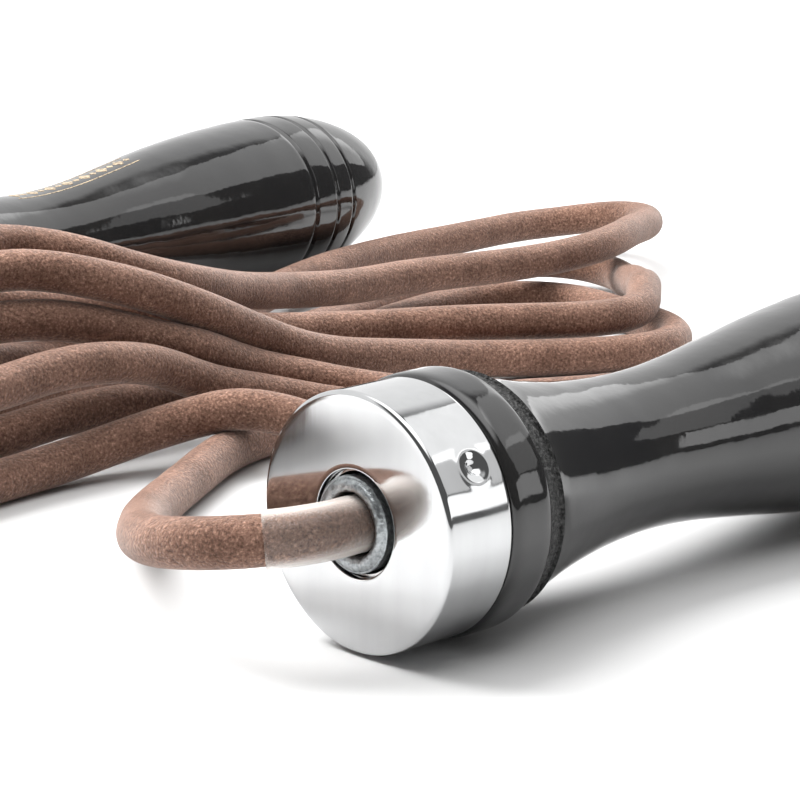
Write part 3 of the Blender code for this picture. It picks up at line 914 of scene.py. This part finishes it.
def add_ferrule(side, steel):
    """The ferrule crimped on the rope's end, which stops it at the washer."""
    stop_back = STOP_AT + STOP_LENGTH
    stop = [
        (STOP_AT, STOP_BORE),
        (STOP_AT, STOP_RADIUS),
        (STOP_AT + 0.25 * STOP_LENGTH, STOP_RADIUS),
        (STOP_AT + 0.35 * STOP_LENGTH, STOP_WAIST_RADIUS),
        (STOP_AT + 0.65 * STOP_LENGTH, STOP_WAIST_RADIUS),
        (STOP_AT + 0.75 * STOP_LENGTH, STOP_RADIUS),
        (stop_back, STOP_RADIUS),
        (stop_back, STOP_BORE),
    ]
    return turned(f"{side}_ferrule", side, stop, INNER_SEGMENTS, "rope", (f"{side}_rope_stop",),
                  steel)


def add_balls(side, steel):
    """The bearing's balls, each where its node is."""
    for number in range(1, BALL_COUNT + 1):
        node = f"{side}_bearing_ball_{number:02d}"
        low, high = (Vector(corner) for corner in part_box(node))
        ball = bmesh.new()
        bmesh.ops.create_icosphere(ball, subdivisions=3, radius=BALL_RADIUS)
        bmesh.ops.translate(ball, verts=ball.verts, vec=0.5 * (low + high))
        mesh = bpy.data.meshes.new(f"{side}_ball_{number:02d}")
        ball.to_mesh(mesh)
        ball.free()
        mesh.shade_smooth()
        mesh.materials.append(steel)
        piece = bpy.data.objects.new(mesh.name, mesh)
        bpy.context.scene.collection.objects.link(piece)
        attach(piece, f"{side}_balls")
        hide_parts(node)


def add_ornament(side, material):
    """A plain row of gilt lozenges between two thin lines, along the top of the grip."""
    steps = 6
    wide = steps + 1
    under = wide * wide
    vertices, faces = [], []

    def add_patch(outline):
        """A thin closed plate on the grip: outline(u, v) gives s and the angle for u and v from -1 to 1."""
        base = len(vertices)
        for lift in (GILT_PROUD, -GILT_SUNK):
            for i in range(wide):
                for j in range(wide):
                    s, angle = outline(-1.0 + 2.0 * i / steps, -1.0 + 2.0 * j / steps)
                    vertices.append(around_axis(side, s, body_radius(s) + lift, angle))
        for i in range(steps):
            for j in range(steps):
                a = base + i * wide + j
                faces.append((a, a + 1, a + wide + 1, a + wide))
                faces.append(tuple(under + k for k in (a, a + wide, a + wide + 1, a + 1)))
        edge = [i * wide for i in range(steps)]
        edge += [steps * wide + j for j in range(steps)]
        edge += [i * wide + steps for i in range(steps, 0, -1)]
        edge += list(range(steps, 0, -1))
        for a, b in zip(edge, edge[1:] + edge[:1]):
            faces.append((base + a, base + b, base + under + b, base + under + a))

    run = (ORNAMENT_TO - ORNAMENT_FROM) / ORNAMENT_COUNT
    for number in range(ORNAMENT_COUNT):
        middle = ORNAMENT_FROM + (number + 0.5) * run
        size = LOZENGE_SIZES[number % 2]

        def lozenge(u, v, middle=middle, size=size):
            turn = ORNAMENT_TURN + size * (u + v) * 0.5 / body_radius(middle)
            return middle + size * (u - v) * 0.5, turn

        add_patch(lozenge)
    for offset in (-LINE_OFFSET, LINE_OFFSET):
        for number in range(ORNAMENT_COUNT):
            start = ORNAMENT_FROM + number * run

            def line(u, v, start=start, offset=offset):
                s = start + run * 0.5 * (u + 1.0)
                return s, ORNAMENT_TURN + (offset + LINE_HALF_WIDTH * v) / body_radius(s)

            add_patch(line)
    piece = add_piece(f"{side}_gilt_band", vertices, faces, f"{side}_handle")
    piece.data.materials.append(material)


# Materials


def new_material(name, **values):
    """A Principled material with its plain values set; returns it with its tree and shader."""
    material = bpy.data.materials.new(name)
    material.use_nodes = True
    tree = material.node_tree
    shader = tree.nodes["Principled BSDF"]
    for key, value in values.items():
        shader.inputs[key.replace("_", " ").title().replace("Ior", "IOR")].default_value = value
    return material, tree, shader


def noise_node(tree, scale, detail=3.0, roughness=0.5, stretch=(1.0, 1.0, 1.0)):
    """Noise in the piece's own frame, from 0 to 1."""
    place = tree.nodes.new("ShaderNodeTexCoord")
    mapping = tree.nodes.new("ShaderNodeMapping")
    mapping.inputs["Scale"].default_value = stretch
    tree.links.new(place.outputs["Object"], mapping.inputs["Vector"])
    texture = tree.nodes.new("ShaderNodeTexNoise")
    texture.inputs["Scale"].default_value = scale
    texture.inputs["Detail"].default_value = detail
    texture.inputs["Roughness"].default_value = roughness
    tree.links.new(mapping.outputs["Vector"], texture.inputs["Vector"])
    return texture.outputs["Fac"]


def ramp_node(tree, source, stops):
    """A colour that follows a value through (value, colour) stops."""
    ramp = tree.nodes.new("ShaderNodeValToRGB")
    elements = ramp.color_ramp.elements
    while len(elements) < len(stops):
        elements.new(0.5)
    for element, (place, color) in zip(elements, stops):
        element.position = place
        element.color = (*color, 1.0)
    tree.links.new(source, ramp.inputs["Fac"])
    return ramp.outputs["Color"]


def multiplied(tree, first, second):
    """One colour times another."""
    mix = tree.nodes.new("ShaderNodeMix")
    mix.data_type = "RGBA"
    mix.blend_type = "MULTIPLY"
    mix.inputs["Factor"].default_value = 1.0
    tree.links.new(first, mix.inputs["A"])
    tree.links.new(second, mix.inputs["B"])
    return mix.outputs["Result"]


def add_bump(tree, shader, layers):
    """Bumps stacked from (height output, depth in metres) pairs."""
    normal = None
    for height, depth in layers:
        bump = tree.nodes.new("ShaderNodeBump")
        bump.inputs["Strength"].default_value = 1.0
        bump.inputs["Distance"].default_value = depth
        tree.links.new(height, bump.inputs["Height"])
        if normal is not None:
            tree.links.new(normal, bump.inputs["Normal"])
        normal = bump.outputs["Normal"]
    tree.links.new(normal, shader.inputs["Normal"])


def leather_material():
    """Brown leather cord: cloudy colour, dark pores, pale specks and a soft sheen of loose fibre."""
    material, tree, shader = new_material(
        "brown_leather", roughness=0.78, specular_ior_level=0.25, sheen_weight=0.4, sheen_roughness=0.42
    )
    shader.inputs["Sheen Tint"].default_value = (1.0, 0.91, 0.86, 1.0)
    clouds = noise_node(tree, 110.0, 4.0, 0.6)
    grain = noise_node(tree, 2300.0, 3.0, 0.62)
    fibre = noise_node(tree, 5200.0, 2.0, 0.5)
    base = ramp_node(tree, clouds, [(0.35, (0.144, 0.076, 0.052)), (0.65, (0.220, 0.123, 0.088))])
    speck_stops = [
        (0.34, (0.46, 0.40, 0.38)),
        (0.47, (0.90, 0.88, 0.86)),
        (0.56, (1.08, 1.07, 1.06)),
        (0.70, (2.0, 2.15, 2.2)),
    ]
    specks = ramp_node(tree, grain, speck_stops)
    fine = ramp_node(tree, fibre, [(0.30, (0.78, 0.77, 0.76)), (0.70, (1.22, 1.23, 1.24))])
    color = multiplied(tree, multiplied(tree, base, specks), fine)
    tree.links.new(color, shader.inputs["Base Color"])
    add_bump(tree, shader, [(clouds, 0.0004), (grain, 0.00022), (fibre, 0.00006)])
    return material


def lacquer_material():
    """Glossy black lacquer, whose surface waves a little."""
    material, tree, shader = new_material("black_lacquer", roughness=0.06, ior=1.62)
    waves = noise_node(tree, 55.0, 2.0)
    ripple = noise_node(tree, 420.0, 2.0)
    dust = noise_node(tree, 1500.0, 1.0)
    color = ramp_node(tree, waves, [(0.3, (0.010, 0.010, 0.011)), (0.7, (0.016, 0.0155, 0.015))])
    tree.links.new(color, shader.inputs["Base Color"])
    gloss = ramp_node(tree, ripple, [(0.3, (0.035, 0.035, 0.035)), (0.7, (0.10, 0.10, 0.10))])
    tree.links.new(gloss, shader.inputs["Roughness"])
    add_bump(tree, shader, [(waves, 0.0005), (ripple, 0.000025), (dust, 0.000004)])
    return material


def raw_groove_material():
    """The groove's floor: black with paler grains."""
    material, tree, shader = new_material("rough_groove", roughness=0.32, ior=1.5)
    grain = noise_node(tree, 2400.0, 3.0, 0.6)
    color = ramp_node(tree, grain, [(0.45, (0.010, 0.010, 0.010)), (0.68, (0.085, 0.085, 0.083))])
    tree.links.new(color, shader.inputs["Base Color"])
    add_bump(tree, shader, [(grain, 0.0004)])
    return material


def metal_material(name, color, roughness, grain_scale, grain_depth, stretch=(1.0, 1.0, 1.0), spread=0.12):
    """A metal with fine grain; spread is the share by which its colour varies."""
    material, tree, shader = new_material(name, metallic=1.0)
    grain = noise_node(tree, grain_scale, 3.0, 0.6, stretch)
    clouds = noise_node(tree, 160.0, 2.0)
    dark = tuple(c * (1.0 - spread) for c in color)
    light = tuple(min(c * (1.0 + spread), 1.0) for c in color)
    tint = ramp_node(tree, grain, [(0.32, dark), (0.68, light)])
    tree.links.new(tint, shader.inputs["Base Color"])
    low, high = 0.7 * roughness, 1.3 * roughness
    rough = ramp_node(tree, clouds, [(0.3, (low, low, low)), (0.7, (high, high, high))])
    tree.links.new(rough, shader.inputs["Roughness"])
    add_bump(tree, shader, [(grain, grain_depth)])
    return material


def sleeve_material():
    """Clear plastic, seen through where it faces the viewer and milky where it slants away."""
    material, tree, shader = new_material("clear_plastic", base_color=(0.80, 0.74, 0.69, 1.0), ior=1.9)
    haze = noise_node(tree, 500.0, 2.0)
    rough = ramp_node(tree, haze, [(0.3, (0.06, 0.06, 0.06)), (0.7, (0.16, 0.16, 0.16))])
    tree.links.new(rough, shader.inputs["Roughness"])
    slant = tree.nodes.new("ShaderNodeLayerWeight")
    slant.inputs["Blend"].default_value = 0.35
    facing = slant.outputs["Facing"]
    wall = ramp_node(tree, facing, [(0.20, (0.06, 0.06, 0.06)), (0.80, (0.78, 0.78, 0.78))])
    tree.links.new(wall, shader.inputs["Alpha"])
    add_bump(tree, shader, [(haze, 0.00003)])
    return material


def gilt_material():
    """Worn gilding."""
    material, tree, shader = new_material("gilt", metallic=0.6, roughness=0.45)
    wear = noise_node(tree, 2200.0, 3.0, 0.6)
    color = ramp_node(tree, wear, [(0.38, (0.18, 0.13, 0.09)), (0.60, (0.62, 0.50, 0.34))])
    tree.links.new(color, shader.inputs["Base Color"])
    add_bump(tree, shader, [(wear, 0.00003)])
    return material


# Stage


def add_area(name, direction, distance, size, radiance, along=(0.0, 0.0, 1.0), mirrored=True):
    """A softbox in a direction from the object, its height along a line. It may show in reflections."""
    data = bpy.data.lights.new(name, "AREA")
    data.shape = "RECTANGLE"
    data.size, data.size_y = size
    data.energy = radiance * math.pi * size[0] * size[1]
    lamp = bpy.data.objects.new(name, data)
    aim = Vector(direction).normalized()
    across = Vector(along).cross(aim).normalized()
    turn = Matrix((across, aim.cross(across), aim)).transposed().to_4x4()
    lamp.matrix_world = Matrix.Translation(LIT_POINT + aim * distance) @ turn
    lamp.visible_camera = False
    lamp.visible_glossy = mirrored
    bpy.context.scene.collection.objects.link(lamp)


def add_floor():
    """A wide sheet of white paper."""
    mesh = bpy.data.meshes.new("floor")
    signs = ((-1.0, -1.0), (1.0, -1.0), (1.0, 1.0), (-1.0, 1.0))
    corners = [(x * FLOOR_REACH, y * FLOOR_REACH, 0.0) for x, y in signs]
    mesh.from_pydata(corners, [], [(0, 1, 2, 3)])
    floor = bpy.data.objects.new("floor", mesh)
    bpy.context.scene.collection.objects.link(floor)
    color = (FLOOR_GRAY, FLOOR_GRAY, FLOOR_GRAY, 1.0)
    material, _, shader = new_material("white_paper", base_color=color, roughness=0.9)
    shader.inputs["Specular IOR Level"].default_value = 0.1
    mesh.materials.append(material)


def add_world():
    """A pale room: bright behind the object and above it, dim on the side it is looked at from."""
    world = bpy.data.worlds.new("studio")
    world.use_nodes = True
    bpy.context.scene.world = world
    tree = world.node_tree
    background = tree.nodes["Background"]
    place = tree.nodes.new("ShaderNodeTexCoord")

    def facing(direction, start, end):
        """0 to 1 as the direction looked in turns from start to end (cosines) towards the given one."""
        dot = tree.nodes.new("ShaderNodeVectorMath")
        dot.operation = "DOT_PRODUCT"
        tree.links.new(place.outputs["Generated"], dot.inputs[0])
        dot.inputs[1].default_value = Vector(direction).normalized()
        ramp = tree.nodes.new("ShaderNodeMapRange")
        ramp.interpolation_type = "SMOOTHSTEP"
        ramp.inputs["From Min"].default_value = start
        ramp.inputs["From Max"].default_value = end
        tree.links.new(dot.outputs["Value"], ramp.inputs["Value"])
        return ramp.outputs["Result"]

    def blended(share, first, second):
        mix = tree.nodes.new("ShaderNodeMix")
        tree.links.new(share, mix.inputs["Factor"])
        for value, socket in ((first, mix.inputs["A"]), (second, mix.inputs["B"])):
            if isinstance(value, float):
                socket.default_value = value
            else:
                tree.links.new(value, socket)
        return mix.outputs["Result"]

    behind = blended(facing((0.17, 0.98, 0.0), 0.28, 0.46), ROOM_DIM, ROOM_BACK)
    strength = blended(facing((0.0, 0.0, 1.0), 0.76, 0.92), behind, ROOM_TOP)
    tree.links.new(strength, background.inputs["Strength"])
    background.inputs["Color"].default_value = (1.0, 1.0, 1.0, 1.0)


def add_stage():
    add_floor()
    add_world()
    add_area("key_softbox", (0.05, 0.54, 0.84), 1.5, (1.7, 1.1), 7.2, mirrored=False)
    add_area("left_softbox", (-0.52, 0.59, 0.62), 0.29, (0.16, 0.14), 12.0, mirrored=False)
    add_area("side_softbox", (0.78, -0.05, 0.63), 1.2, (0.66, 1.50), 1.4, along=(0.447, 0.745, -0.503))
    add_area("cap_softbox", (0.68, -0.56, 0.50), 1.2, (0.40, 0.47), 0.8)
    add_area("low_strip", (0.57, -0.80, 0.19), 1.2, (0.46, 0.27), 1.9)
    bpy.context.scene.view_settings.view_transform = "Standard"


def main():
    add_camera()
    path = rope_path()
    rope = add_rope(path)
    plastic = sleeve_material()
    sleeves = [add_sleeve(side, path, plastic) for side in SIDES]
    lacquer = lacquer_material()
    raw = raw_groove_material()
    chrome = metal_material("chrome", (0.53, 0.535, 0.54), 0.08, 260.0, 0.000008, (1.0, 1.0, 0.12), 0.04)
    zinc = metal_material("zinc_plate", (0.34, 0.36, 0.37), 0.40, 1900.0, 0.00016, spread=0.35)
    steel = metal_material("bearing_steel", (0.55, 0.55, 0.55), 0.16, 900.0, 0.00001)
    for side in SIDES:
        add_grip(side, lacquer, raw)
        add_cap(side, chrome)
        add_cone(side, zinc)
        add_cup(side, steel)
        add_washer(side, zinc)
        add_ferrule(side, steel)
        add_balls(side, steel)
    add_ornament("rear", gilt_material())
    add_stage()


main()
